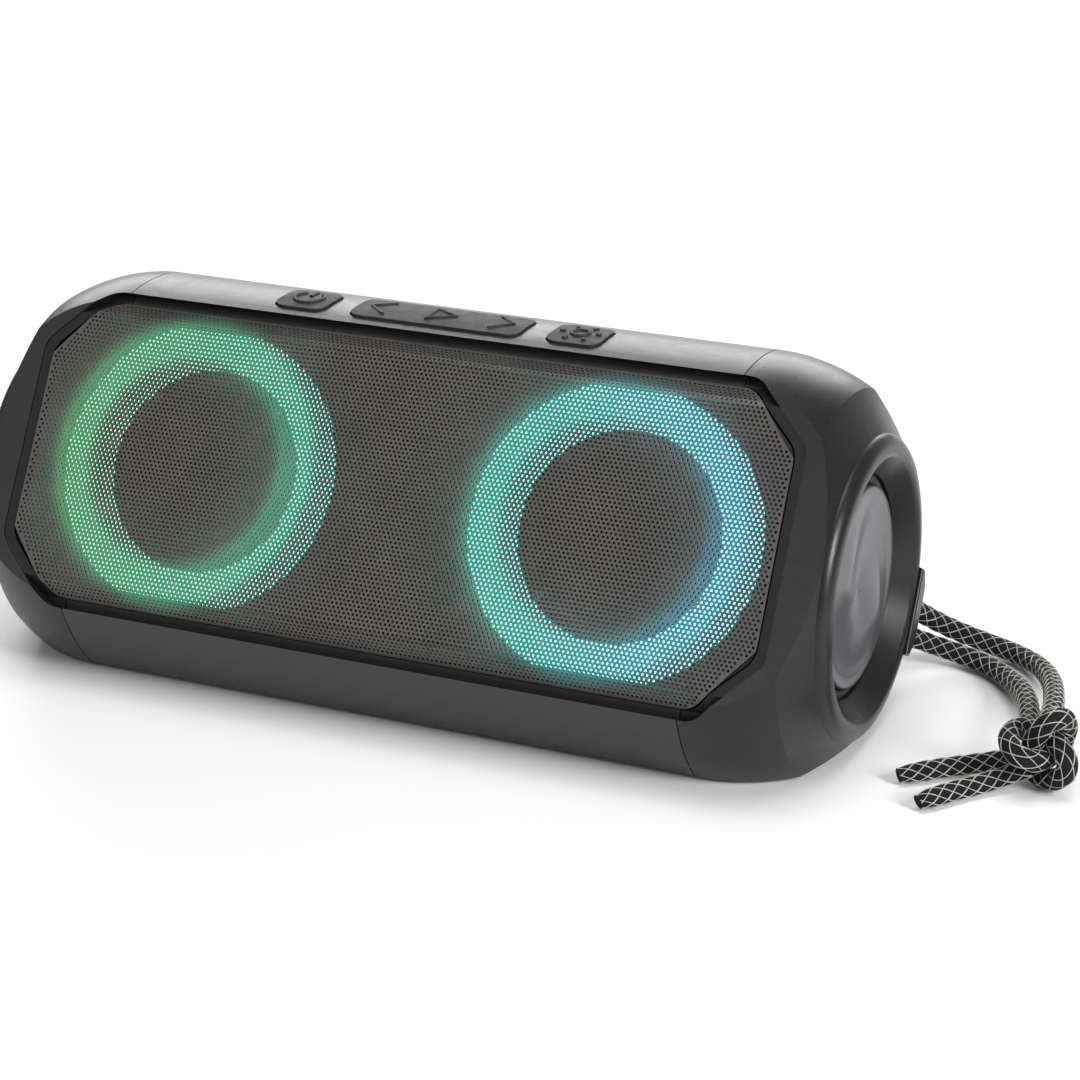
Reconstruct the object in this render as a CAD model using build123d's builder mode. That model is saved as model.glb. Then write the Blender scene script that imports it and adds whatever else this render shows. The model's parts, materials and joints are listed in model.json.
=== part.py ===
from build123d import *
import os
from math import acos, cos, degrees, pi, radians, sin, sqrt, tan

# A portable speaker with a three-sided section. X runs along its length, Y to the back, Z up.
# Its long axis lies at the height axis_h; the front, back and base flats are flat_r from that axis.
flat_r = 41.4
corner_r = 58.5  # the three long edges are arcs about the axis
wall = 2.5
foot_proud = 1.0
axis_h = flat_r + foot_proud
lean = 30.0  # the front face leans back by this many degrees

seam_x = 90.0  # where the end caps start
seam_gap = 0.15
shoulder_x, shoulder_r = 114.5, 51.5  # the end cap tapers to here, then turns in to the end ring
ring_x, ring_r = 120.9, 40.7
crest_x, crest_r = 123.8, 36.8  # the end ring's highest line

# The front opening is an octagon, and the grille in it is bent back along its top and bottom.
open_w, open_h, open_cut = 108.5, 41.6, 15.0  # half sizes, and how far each corner is cut
lip, lip_depth, lip_fall = 2.8, 0.4, 0.41
lip_back = 1.7  # the lip's underside, behind the grille's outer face
bend_at = 4.5  # the bent edges start this far inside the opening, and go back by as much
grille_t = 0.8

tub_gap = 0.4
tub_wall = 2.0
tub_x = 110.0
tub_top = 46.5
baffle_p, baffle_t = 25.0, 2.5
gasket_t = 0.4
bulkhead_t = 2.5

driver_x = 61.4
driver_hole = 24.0
glow_r, glow_p = 39.2, 35.3  # outer edge of a light ring: radius, and height over the axis plane
glow_in_r, glow_in_p = 28.2, 28.8

disc_r = 26.7
button_proud = 0.6
button_travel = 0.8
button_gap = 0.3
strip_w, key_w, key_x = 50.0, 15.2, 40.2
key_y, key_d, key_corner = 0.1, 14.8, 3.4

cover_w, cover_h, cover_t = 36.0, 14.0, 1.4
cover_y = 8.0  # centre of the port cover, down the back face

board_z, board_t = 50.2, 1.0  # the button board's underside, and its thickness
flange_z = 53.9  # underside of the buttons' flanges

bulkhead_x = tub_x + bulkhead_t
ring_hole = 38.2  # the hole that each end ring's spigot goes into
frame_t, frame_r, frame_in_r = 3.0, 35.0, 29.5
disc_x, disc_t = 116.5, 3.0

screw_r, head_r, head_t = 1.4, 2.7, 1.4
base_screw_x, cap_screw_x, screw_y = (-50, 50), 100.0, 24.0
screw_l = 9.0
foot_x, foot_y, foot_l, foot_w = 62.0, 33.0, 36.0, 9.0

driver_screw_r = 26.0
frame_screw_r = 32.2
nub_x, nub_in_r, nub_bevel_r, nub_r = 124.9, 35.6, 38.2, 41.4  # the raised mark on each end ring
nub_w, nub_flat_w = 24.0, 15.0

stem_y, stem_z = 3.5, 53.0
switch_h = 0.9
track_at = (-18.0, 0.0, 18.0)
ribbon_x, ribbon_y, ribbon_w = -25.0, 11.0, 8.0

rope_d = 5.4
post_r, post_at = 2.0, 42.9
slot_x0, slot_x1, slot_w = 112.9, 118.6, 17.0  # the slot behind the right end ring for the lanyard

c30, s30 = cos(radians(lean)), sin(radians(lean))
axis_pt = Vector(0, 0, axis_h)
front_n = Vector(0, -c30, s30)
back_n = Vector(0, c30, s30)
long_axis = Axis((0, 0, axis_h), (1, 0, 0))
rim_p = baffle_p + baffle_t

os.makedirs("parts", exist_ok=True)


def save(built, name):
    built.part.label = name
    export_step(built.part, f"parts/{name}.step")


def side(x):
    """The cross-section plane at x: across it is Y, up it is Z, from the long axis."""
    return Plane(origin=(x, 0, axis_h), x_dir=(0, 1, 0), z_dir=(1, 0, 0))


def front(d, x=0):
    """A plane parallel to the front face, d in front of the long axis."""
    return Plane(origin=Vector(x, 0, axis_h) + front_n * d, x_dir=(1, 0, 0), z_dir=front_n)


def back(d):
    """A plane parallel to the back face. Its y runs down the back."""
    return Plane(origin=axis_pt + back_n * d, x_dir=(1, 0, 0), z_dir=back_n)


def level(z):
    return Plane.XY.offset(axis_h + z)


meridian = Plane(origin=axis_pt, x_dir=(1, 0, 0), z_dir=(0, -1, 0))


def face_section(x):
    """The cross-section plane turned with the front face: across it is outwards, up it is up the face."""
    return Plane(origin=(x, 0, axis_h), x_dir=front_n, z_dir=(-1, 0, 0))


def driver_meridian(x):
    """A plane through a driver's axis: across it is along X, up it is outwards."""
    return Plane(origin=(x, 0, axis_h), x_dir=(1, 0, 0), z_dir=(0, -s30, -c30))


def on_face(x, q, d):
    """A plane parallel to the front face with its origin at x along it and q up it."""
    at = Vector(x, 0, axis_h) + front_n * d + Vector(0, s30, c30) * q
    return Plane(origin=at, x_dir=(1, 0, 0), z_dir=front_n)


def driver_axis(x):
    return Axis((x, 0, axis_h), front_n)


def slab(plane, length, width, amount):
    """A plain block on a plane, used to cut or to keep part of a body."""
    with BuildPart() as block:
        with BuildSketch(plane):
            Rectangle(length, width)
        extrude(amount=amount)
    return block.part


def hull(inset):
    """The outer body moved inwards by inset, from end ring to end ring."""
    end = ring_x - 0.6 * inset
    with BuildPart() as body:
        with BuildSketch(side(-end)) as section:
            Circle(corner_r - inset)
            RegularPolygon(flat_r - inset, 3, major_radius=False, rotation=90, mode=Mode.INTERSECT)
            fillet(section.vertices(), radius=1.5)
        extrude(amount=2 * end)
        with BuildSketch(meridian):
            with BuildLine():
                straight = Line((0, corner_r - inset), (seam_x, corner_r - inset))
                shoulder = (shoulder_x - 0.5 * inset, shoulder_r - inset)
                taper = TangentArc(straight @ 1, shoulder, tangent=(1, 0))
                Polyline(taper @ 1, (end, ring_r - inset), (end, 0), (0, 0), (0, corner_r - inset))
            make_face()
            mirror(about=Plane.YZ)
        revolve(axis=long_axis, mode=Mode.INTERSECT)
    return body.part


def octagon(half_w, half_h, cut, amount, plane):
    """A block with an eight-sided outline, as the front opening has."""
    with BuildPart() as block:
        with BuildSketch(plane) as outline:
            Rectangle(2 * half_w, 2 * half_h)
            chamfer(outline.vertices(), length=cut)
            fillet(outline.vertices(), radius=8)
        extrude(amount=amount)
    return block.part


def bent(depth):
    """Everything in front of a surface that lies depth behind the bent grille's outer face."""
    half = open_h - bend_at - depth * tan(radians(22.5))
    face_p = flat_r - depth
    edge_q, edge_p = open_h, flat_r - bend_at - depth * sqrt(2)
    far = 70
    with BuildPart() as block:
        with BuildSketch(face_section(ring_x)):
            with BuildLine():
                Polyline(
                    (face_p, -half), (face_p, half), (edge_p, edge_q),
                    (edge_p - lip_fall * 20, edge_q + 20),
                    (far, far), (far, -far), (edge_p - lip_fall * 20, -edge_q - 20), (edge_p, -edge_q),
                    close=True,
                )
            make_face()
        extrude(amount=2 * ring_x)
    return block.part


def wedge(start, end, half_length):
    """The part of space round the long axis between two directions, in degrees from +Y towards +Z."""
    far = 120
    spokes = [radians(a) for a in (start, (start + end) / 2, end)]
    with BuildPart() as block:
        with BuildSketch(side(-half_length)):
            with BuildLine():
                Polyline((0, 0), *[(far * cos(a), far * sin(a)) for a in spokes], close=True)
            make_face()
        extrude(amount=2 * half_length)
    return block.part


def roller(radius, half_length=ring_x + 10):
    """A round bar along the long axis."""
    with BuildPart() as bar:
        with BuildSketch(side(-half_length)):
            Circle(radius)
        extrude(amount=2 * half_length)
    return bar.part


def turned(points, plane, axis):
    """A body of revolution with a straight-sided profile."""
    with BuildPart() as body:
        with BuildSketch(plane):
            with BuildLine():
                Polyline(*points, close=True)
            make_face()
        revolve(axis=axis)
    return body.part


def save_pair(right, name):
    """The right-hand piece, and its mirror image on the left."""
    save(right, f"{name}_right")
    with BuildPart() as left:
        mirror(right.part, about=Plane.YZ)
    save(left, f"{name}_left")


# ---------------------------------------------------------------- shell
corner_a = degrees(acos(flat_r / corner_r))  # from a flat's middle to the edge of its arc
front_a, base_a, back_a = 180 - lean, 270, lean
seam_turn = degrees(seam_gap / corner_r)

opening = octagon(open_w, open_h, open_cut, 60, front(20))
lip_area = octagon(open_w + lip, open_h + lip, open_cut + 0.6 * lip, 60, front(20))
frame_area = octagon(open_w + lip + 0.6, open_h + lip + 0.6, open_cut + 0.6 * lip, 60, front(20))
end_hole = roller(ring_hole)

with BuildPart() as cavity:
    add(hull(wall))
    add(frame_area & bent(lip_back), mode=Mode.SUBTRACT)

with BuildPart() as shell:
    add(hull(0))
    add(cavity.part, mode=Mode.SUBTRACT)
    add(opening, mode=Mode.SUBTRACT)
    add(lip_area & bent(lip_depth), mode=Mode.SUBTRACT)
    add(end_hole, mode=Mode.SUBTRACT)



def screw(plane, length, radius, top_r, top_t):
    """A screw with a flat head. Its head's face is on the plane, and it goes in against its normal."""
    with BuildPart() as body:
        with BuildSketch(plane):
            Circle(top_r)
        extrude(amount=-top_t)
        with BuildSketch(plane.offset(-top_t)):
            Circle(radius)
        extrude(amount=top_t - length)
    return body.part


def floor_plane(x, y, z=foot_proud):
    return Plane(origin=(x, y, z), x_dir=(1, 0, 0), z_dir=(0, 0, -1))


def screw_holes(xs, ys, depth=wall, radius=screw_r + 0.05):
    """Holes through the base wall, with a round seat for each head."""
    with BuildPart() as holes:
        for x in xs:
            for y in ys:
                add(screw(floor_plane(x, y), depth + 10, radius, head_r + 0.05, head_t + 0.05))
    return holes.part


with BuildPart() as end_cap_right:
    add(shell.part)
    add(slab(side(seam_x + seam_gap), 200, 200, 60), mode=Mode.INTERSECT)
    add(screw_holes([cap_screw_x], [-screw_y, screw_y]), mode=Mode.SUBTRACT)

with BuildPart() as end_cap_left:
    mirror(end_cap_right.part, about=Plane.YZ)
save(end_cap_left, "end_cap_left")

# The right end cap alone has the slot that the lanyard comes out of, in its low rear corner.
rear_corner = Vector(0, c30, -s30)
along_corner = Vector(0, s30, c30)


def corner_plane(x):
    """The cross-section plane turned so that across it is out through the low rear corner."""
    return Plane(origin=(x, 0, axis_h), x_dir=rear_corner, z_dir=(1, 0, 0))


def corner_block(x0, x1, r0, r1, width):
    with BuildPart() as block:
        with BuildSketch(corner_plane(x0)):
            with Locations(((r0 + r1) / 2, 0)):
                Rectangle(r1 - r0, width)
        extrude(amount=x1 - x0)
    return block.part


with BuildPart() as end_cap_slotted:
    add(end_cap_right.part)
    add(corner_block(slot_x0, slot_x1, 35.2, 60, slot_w), mode=Mode.SUBTRACT)
save(end_cap_slotted, "end_cap_right")

middle = slab(side(-seam_x + seam_gap), 200, 200, 2 * (seam_x - seam_gap))
top_from, top_to = back_a + corner_a + seam_turn, front_a - corner_a + 6
chin_from, chin_to = front_a + corner_a - 6, base_a - corner_a - seam_turn
base_from, base_to = base_a - corner_a + seam_turn, base_a + corner_a - seam_turn
rear_from, rear_to = base_a + corner_a + seam_turn, 360 + back_a + corner_a - seam_turn

with BuildPart() as key_wells:
    for x, w in ((-key_x, key_w), (0, strip_w), (key_x, key_w)):
        with BuildSketch(Plane(origin=(x, key_y, axis_h + 40))):
            RectangleRounded(w + 2 * button_gap, key_d + 2 * button_gap, key_corner)
        extrude(amount=30)

with BuildPart() as top_panel:
    add(shell.part)
    add(middle, mode=Mode.INTERSECT)
    add(wedge(top_from, top_to, seam_x), mode=Mode.INTERSECT)
    add(key_wells.part, mode=Mode.SUBTRACT)
save(top_panel, "top_panel")

with BuildPart() as chin_panel:
    add(shell.part)
    add(middle, mode=Mode.INTERSECT)
    add(wedge(chin_from, chin_to, seam_x), mode=Mode.INTERSECT)
save(chin_panel, "chin_panel")

with BuildPart() as base_panel:
    add(shell.part)
    add(middle, mode=Mode.INTERSECT)
    add(wedge(base_from, base_to, seam_x), mode=Mode.INTERSECT)
    add(screw_holes(base_screw_x, [-screw_y, screw_y]), mode=Mode.SUBTRACT)
save(base_panel, "base_panel")

with BuildPart() as base_feet:
    with BuildSketch(Plane.XY):
        with GridLocations(2 * foot_x, 2 * foot_y, 2, 2):
            SlotOverall(foot_l, foot_w)
    extrude(amount=foot_proud)
save(base_feet, "base_feet")

# ---------------------------------------------------------------- port bay in the back panel
usb_at, jack_at = (-9.0, cover_y), (9.0, cover_y)


def down_back(x, y, d):
    """A plane parallel to the back face with its origin at x along it and y down it."""
    at = axis_pt + back_n * d + Vector(x, 0, 0) + Vector(0, s30, -c30) * y
    return Plane(origin=at, x_dir=(1, 0, 0), z_dir=back_n)


with BuildPart() as port_holes:
    with BuildSketch(down_back(*usb_at, flat_r - 6)):
        RectangleRounded(9.3, 3.5, 1.7)
    extrude(amount=10)
    with BuildSketch(down_back(*jack_at, flat_r - 6)):
        Circle(3.15)
    extrude(amount=10)

with BuildPart() as back_panel:
    add(shell.part)
    add(middle, mode=Mode.INTERSECT)
    add(wedge(rear_from, rear_to, seam_x), mode=Mode.INTERSECT)
    with BuildSketch(down_back(0, cover_y, flat_r - cover_t - 0.1)):
        RectangleRounded(cover_w + 0.6, cover_h + 0.6, 0.4)
    extrude(amount=5, mode=Mode.SUBTRACT)
    add(port_holes.part, mode=Mode.SUBTRACT)
save(back_panel, "back_panel")

# The port cover's lower edge is round about its hinge, and its upper edge has a nail slot.
hinge_y = cover_y + cover_h / 2 - cover_t / 2
cover_end = axis_pt + back_n * flat_r - Vector(cover_w / 2, 0, 0)
with BuildPart() as port_cover:
    with BuildSketch(Plane(origin=cover_end, x_dir=(0, s30, -c30), z_dir=(1, 0, 0))):
        with BuildLine():
            top_edge = Line((cover_y - cover_h / 2, 0), (hinge_y, 0))
            round_mid = (hinge_y + cover_t / 2, -cover_t / 2)
            round_edge = ThreePointArc(top_edge @ 1, round_mid, (hinge_y, -cover_t))
            Polyline(round_edge @ 1, (cover_y - cover_h / 2, -cover_t), (cover_y - cover_h / 2, 0))
        make_face()
    extrude(amount=cover_w)
    with BuildSketch(down_back(0, cover_y - cover_h / 2, flat_r)):
        SlotOverall(10, 2.4)
    extrude(amount=-0.7, mode=Mode.SUBTRACT)
save(port_cover, "port_cover")

# ---------------------------------------------------------------- grille, baffle and acoustic tub
with BuildPart() as grille:
    add(octagon(open_w - 0.3, open_h - 0.3, open_cut, 60, front(20)))
    add(bent(grille_t), mode=Mode.INTERSECT)
    add(bent(0), mode=Mode.SUBTRACT)
save(grille, "grille")

core_out = hull(wall + tub_gap)
core_in = hull(wall + tub_gap + tub_wall)
tub_length = slab(side(-tub_x), 200, 200, 2 * tub_x)
in_front = slab(front(baffle_p - gasket_t), 400, 300, 100)
over_top = slab(level(tub_top), 400, 200, 60)
under_roof = slab(level(tub_top - tub_wall), 400, 200, -150)
boss_r, boss_h = 4.0, 8.0
post_x, post_y = 48.0, 8.0
board_half_w, board_y0, board_y1 = 55.0, -3.6, 12.4

with BuildPart() as tub_whole:
    add(core_out)
    add(tub_length, mode=Mode.INTERSECT)
    add(over_top, mode=Mode.SUBTRACT)
    add(core_in & under_roof, mode=Mode.SUBTRACT)

base_holes = [(x, y) for x in (-cap_screw_x, *base_screw_x, cap_screw_x) for y in (-screw_y, screw_y)]
base_inner = -(flat_r - wall - tub_gap)

with BuildPart() as acoustic_tub:
    add(tub_whole.part)
    add(in_front, mode=Mode.SUBTRACT)
    with BuildSketch(level(base_inner)):
        with Locations(*base_holes):
            Circle(boss_r)
    extrude(amount=boss_h)
    with BuildSketch(level(base_inner)):
        with Locations(*base_holes):
            Circle(screw_r + 0.05)
    extrude(amount=boss_h - 1, mode=Mode.SUBTRACT)
    with BuildSketch(level(tub_top)):
        with Locations((-post_x, post_y), (post_x, post_y)):
            Circle(3)
    extrude(amount=board_z - tub_top)
    with BuildSketch(level(board_z - 2.9)):
        with Locations((-post_x, post_y), (post_x, post_y)):
            Circle(1.05)
    extrude(amount=2.9, mode=Mode.SUBTRACT)
    with BuildSketch(down_back(0, cover_y, flat_r - 6)):
        Rectangle(32, 10)
    extrude(amount=10, mode=Mode.SUBTRACT)
    with BuildSketch(level(tub_top - 4)):
        with Locations((ribbon_x, ribbon_y)):
            Rectangle(ribbon_w + 1, 2)
    extrude(amount=8, mode=Mode.SUBTRACT)
save(acoustic_tub, "acoustic_tub")

with BuildPart() as baffle_gasket:
    add(tub_whole.part)
    add(in_front, mode=Mode.INTERSECT)
    add(slab(front(baffle_p), 400, 300, 100), mode=Mode.SUBTRACT)
save(baffle_gasket, "baffle_gasket")

rim_half_w, rim_half_h, rim_t = open_w - 0.4, open_h - 0.4, 1.6
driver_xs = (-driver_x, driver_x)

with BuildPart() as baffle:
    add(core_out)
    add(slab(front(baffle_p, 0), 2 * tub_x, 300, baffle_t), mode=Mode.INTERSECT)
    with BuildSketch(front(baffle_p)):
        with Locations((0, 60 + rim_half_h)):
            Rectangle(300, 120)
    extrude(amount=baffle_t, mode=Mode.SUBTRACT)
    add(octagon(rim_half_w, rim_half_h, open_cut, 25, front(rim_p)))
    add(octagon(rim_half_w - rim_t, rim_half_h - rim_t, open_cut - 1, 25, front(rim_p)), mode=Mode.SUBTRACT)
    add(bent(grille_t), mode=Mode.SUBTRACT)
    with BuildSketch(front(baffle_p)):
        with Locations(*[(x, 0) for x in driver_xs]):
            Circle(driver_hole)
    extrude(amount=baffle_t, mode=Mode.SUBTRACT)
    for x in driver_xs:
        with BuildSketch(front(baffle_p, x)):
            with PolarLocations(driver_screw_r, 4, 45):
                Circle(0.95)
        extrude(amount=baffle_t, mode=Mode.SUBTRACT)
save(baffle, "baffle")

with BuildPart() as bulkhead:
    add(core_out)
    add(slab(side(tub_x), 200, 200, bulkhead_t), mode=Mode.INTERSECT)
    with BuildSketch(side(tub_x)):
        Circle(frame_in_r)
        with PolarLocations(frame_screw_r, 6, 30):
            Circle(1.3)
    extrude(amount=bulkhead_t, mode=Mode.SUBTRACT)
save_pair(bulkhead, "bulkhead")

# ---------------------------------------------------------------- drivers and light rings
all_screws, all_lamps = [], []
for name, x in (("left", -driver_x), ("right", driver_x)):
    plane, spin = driver_meridian(x), driver_axis(x)
    flange_p = rim_p + 1.2
    with BuildPart() as basket:
        add(turned([(22.8, flange_p), (27.4, flange_p), (27.4, rim_p), (23.8, rim_p),
                    (17.0, 13.0), (15.8, 13.0), (22.4, rim_p)], plane, spin))
        with BuildSketch(front(15.5, x)):
            with PolarLocations(20, 4):
                Rectangle(12, 13)
        extrude(amount=9, mode=Mode.SUBTRACT)
        with BuildSketch(front(rim_p, x)):
            with PolarLocations(driver_screw_r, 4, 45):
                Circle(0.95)
        extrude(amount=2, mode=Mode.SUBTRACT)
    save(basket, f"driver_basket_{name}")

    magnet = turned([(0, 1.5), (16.0, 1.5), (16.0, 13.0), (8.8, 13.0),
                     (8.8, 3.5), (7.1, 3.5), (7.1, 13.0), (0, 13.0)], plane, spin)
    with BuildPart() as driver_magnet:
        add(magnet)
    save(driver_magnet, f"driver_magnet_{name}")

    with BuildPart() as cone:
        add(turned([(21.5, 28.7), (21.5, 28.1), (9.0, 18.4), (8.2, 18.4),
                    (8.2, 8.0), (7.6, 8.0), (7.6, 19.2), (9.0, 19.2)], plane, spin))
        with BuildSketch(plane):
            with BuildLine():
                dome = ThreePointArc((0, 22.5), (5.2, 21.4), (9.0, 18.8))
                Polyline(dome @ 1, (8.2, 18.6), (0, 21.5), (0, 22.5))
            make_face()
        revolve(axis=spin)
    save(cone, f"driver_cone_{name}")

    with BuildPart() as surround:
        with BuildSketch(plane):
            with BuildLine():
                roll = ThreePointArc((24.4, flange_p), (23.15, flange_p + 1.4), (21.9, flange_p))
                Line((21.9, flange_p), (22.4, flange_p))
                ThreePointArc((22.4, flange_p), (23.15, flange_p + 0.8), (23.9, flange_p))
                Line((23.9, flange_p), (24.4, flange_p))
            make_face()
            with Locations((24.25, flange_p + 0.25)):
                Rectangle(0.7, 0.5)
        revolve(axis=spin)
    save(surround, f"driver_surround_{name}")

    with BuildPart() as screws:
        for spot in PolarLocations(driver_screw_r, 4, 45):
            at = spot.position
            add(screw(on_face(x + at.X, at.Y, flange_p + 1.2), 7.2, 0.9, 1.3, 1.2))

    with BuildPart() as light_ring:
        add(turned([(glow_r, rim_p), (glow_r, glow_p), (glow_in_r, glow_in_p), (glow_in_r, rim_p),
                    (31.0, rim_p), (31.0, 28.65), (37.2, 32.3), (37.2, rim_p)], plane, spin))
    save(light_ring, f"light_ring_{name}")

    with BuildPart() as lamp_board:
        with BuildSketch(front(rim_p, x)):
            Circle(36.9)
            Circle(31.3, mode=Mode.SUBTRACT)
        extrude(amount=1.2)
    save(lamp_board, f"lamp_board_{name}")

    with BuildPart() as ring_lamps:
        with BuildSketch(front(rim_p + 1.2, x)):
            with PolarLocations(34.4, 12):
                Rectangle(3.0, 3.0)
        extrude(amount=0.9)

    all_screws.append(screws.part)
    all_lamps.append(ring_lamps.part)

for name, pieces in (("driver_screws", all_screws), ("lamps", all_lamps)):
    with BuildPart() as group:
        add(pieces)
    save(group, name)

# ---------------------------------------------------------------- ends
with BuildPart() as radiator_frame:
    with BuildSketch(side(bulkhead_x)):
        Circle(frame_r)
        Circle(frame_in_r, mode=Mode.SUBTRACT)
    extrude(amount=frame_t)
    with BuildSketch(side(bulkhead_x)):
        with PolarLocations(frame_screw_r, 6, 30):
            Circle(1.3)
    extrude(amount=frame_t, mode=Mode.SUBTRACT)
    with BuildSketch(side(bulkhead_x + frame_t - 1.5)):
        with PolarLocations(frame_screw_r, 6, 30):
            Circle(2.1)
    extrude(amount=1.5, mode=Mode.SUBTRACT)
save_pair(radiator_frame, "radiator_frame")

frame_face = bulkhead_x + frame_t
with BuildPart() as radiator_screws:
    for spot in PolarLocations(frame_screw_r, 6, 30):
        at = spot.position
        with BuildSketch(side(frame_face - 0.1)):
            with Locations((at.X, at.Y)):
                Circle(2.05)
        extrude(amount=-1.4)
        with BuildSketch(side(frame_face - 1.5)):
            with Locations((at.X, at.Y)):
                Circle(1.25)
        extrude(amount=-4)
with BuildPart() as both_ends:
    add(radiator_screws.part)
    mirror(radiator_screws.part, about=Plane.YZ)
save(both_ends, "radiator_screws")

with BuildPart() as radiator_surround:
    with BuildSketch(meridian):
        with BuildLine():
            roll_in, roll_out = disc_r + 0.35, 29.6
            roll_mid = (roll_in + roll_out) / 2
            ThreePointArc((frame_face, roll_out), (frame_face + 2.0, roll_mid), (frame_face, roll_in))
            Line((frame_face, roll_in), (frame_face, roll_in + 0.5))
            inner_from, inner_to = (frame_face, roll_in + 0.5), (frame_face, roll_out - 0.5)
            ThreePointArc(inner_from, (frame_face + 1.3, roll_mid), inner_to)
            Line(inner_to, (frame_face, roll_out))
        make_face()
        with Locations((frame_face + 0.6, 31.0)):
            Rectangle(1.2, 3.6)
    revolve(axis=long_axis)
save_pair(radiator_surround, "radiator_surround")

with BuildPart() as radiator_disc:
    with BuildSketch(side(disc_x)):
        Circle(disc_r)
    extrude(amount=disc_t)
    fillet(radiator_disc.edges().filter_by(GeomType.CIRCLE).sort_by(Axis.X)[-1], radius=1.0)
save_pair(radiator_disc, "radiator_disc")

with BuildPart() as radiator_weight:
    with BuildSketch(side(disc_x - 3.5)):
        Circle(11)
    extrude(amount=3.5)
save_pair(radiator_weight, "radiator_weight")

with BuildPart() as end_ring:
    with BuildSketch(meridian):
        with BuildLine():
            Polyline((crest_x - 0.9, 34.4), (118.0, 29.8), (117.0, 29.8), (117.0, 33.0), (frame_face, 33.0),
                     (frame_face, ring_hole - 0.3), (ring_x, ring_hole - 0.3), (ring_x, ring_r))
            rise = ThreePointArc((ring_x, ring_r), (ring_x + 1.9, ring_r - 1.2), (crest_x, crest_r))
            ThreePointArc(rise @ 1, (crest_x - 0.1, crest_r - 1.3), (crest_x - 0.9, 34.4))
        make_face()
    revolve(axis=long_axis)
    with BuildSketch(corner_plane(ring_x)):
        with BuildLine():
            Polyline((nub_in_r, -nub_w / 2), (nub_bevel_r, -nub_w / 2), (nub_r, -nub_flat_w / 2),
                     (nub_r, nub_flat_w / 2), (nub_bevel_r, nub_w / 2), (nub_in_r, nub_w / 2), close=True)
        make_face()
    extrude(amount=nub_x - ring_x)
    fillet(end_ring.edges().group_by(Axis.X)[-1], radius=0.8)

with BuildPart() as end_ring_left:
    mirror(end_ring.part, about=Plane.YZ)
save(end_ring_left, "end_ring_left")

with BuildPart() as end_ring_right:
    add(end_ring.part)
    add(corner_block(slot_x0, slot_x1, 35.2, 60, slot_w), mode=Mode.SUBTRACT)
save(end_ring_right, "end_ring_right")

with BuildPart() as lanyard_post:
    with BuildSketch(corner_plane(bulkhead_x)):
        with Locations((post_at, 0)):
            Circle(post_r)
    extrude(amount=slot_x1 - bulkhead_x)
save(lanyard_post, "lanyard_post")

# ---------------------------------------------------------------- buttons
def key(name, x, w, stems):
    """A rubber button: its top follows the panel, a flange holds it and stems meet the switches."""
    with BuildPart() as top:
        with BuildSketch(Plane(origin=(x, key_y, axis_h + flange_z))):
            RectangleRounded(w, key_d, key_corner)
        extrude(amount=10)
        add(roller(corner_r + button_proud), mode=Mode.INTERSECT)
    with BuildPart() as flange:
        with BuildSketch(Plane(origin=(x, key_y, axis_h + flange_z))):
            RectangleRounded(w + 2.4, key_d - 1.2, key_corner)
        extrude(amount=10)
        add(roller(corner_r - wall - 0.9), mode=Mode.INTERSECT)
    with BuildPart() as whole:
        add(top.part)
        add(flange.part)
        with BuildSketch(Plane(origin=(0, stem_y, axis_h + stem_z))):
            with Locations(*[(stem, 0) for stem in stems]):
                Rectangle(5, 5)
        extrude(amount=flange_z - stem_z + 0.5)
    save(whole, name)


key("power_button", -key_x, key_w, [-key_x])
key("track_strip", 0, strip_w, track_at)
key("light_button", key_x, key_w, [key_x])

with BuildPart() as button_board:
    with BuildSketch(level(board_z)):
        with Locations((0, (board_y0 + board_y1) / 2)):
            Rectangle(2 * board_half_w, board_y1 - board_y0)
        with Locations((-post_x, post_y), (post_x, post_y)):
            Circle(1.1, mode=Mode.SUBTRACT)
    extrude(amount=board_t)
save(button_board, "button_board")

with BuildPart() as dome_switches:
    with BuildSketch(level(board_z + board_t)):
        with Locations(*[(x, stem_y) for x in (-key_x, *track_at, key_x)]):
            RectangleRounded(5.0, 5.0, 1.0)
    extrude(amount=switch_h)
save(dome_switches, "dome_switches")

with BuildPart() as button_board_screws:
    for x in (-post_x, post_x):
        add(screw(Plane(origin=(x, post_y, axis_h + board_z + board_t + 0.8)), 4.4, 1.0, 1.8, 0.8))
save(button_board_screws, "button_board_screws")

# ---------------------------------------------------------------- inside
board_d = 29.6
with BuildPart() as main_board:
    with BuildSketch(down_back(0, 2.0, board_d)):
        RectangleRounded(90, 34, 2)
    extrude(amount=1.6)
save(main_board, "main_board")

with BuildPart() as board_parts:
    chips = ((-20, -2, 12, 12, 1.6), (6, -6, 8, 8, 1.2), (26, 4, 10, 7, 5.0), (-36, 8, 7, 7, 6.0))
    for x, y, w, h, t in chips:
        with BuildSketch(down_back(x, y, board_d)):
            Rectangle(w, h)
        extrude(amount=-t)
save(board_parts, "board_parts")

socket_to = flat_r - cover_t - 0.4
with BuildPart() as usb_socket:
    with BuildSketch(down_back(*usb_at, board_d + 1.6)):
        RectangleRounded(8.9, 3.2, 1.5)
    extrude(amount=socket_to - board_d - 1.6)
    with BuildSketch(down_back(*usb_at, board_d + 3.0)):
        RectangleRounded(8.3, 2.6, 1.25)
        Rectangle(6.7, 0.7, mode=Mode.SUBTRACT)
    extrude(amount=socket_to, mode=Mode.SUBTRACT)
save(usb_socket, "usb_socket")

with BuildPart() as audio_jack:
    with BuildSketch(down_back(*jack_at, board_d + 1.6)):
        Circle(3.0)
    extrude(amount=socket_to - board_d - 1.6)
    with BuildSketch(down_back(*jack_at, board_d + 2.6)):
        Circle(1.8)
    extrude(amount=socket_to, mode=Mode.SUBTRACT)
save(audio_jack, "audio_jack")

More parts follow.
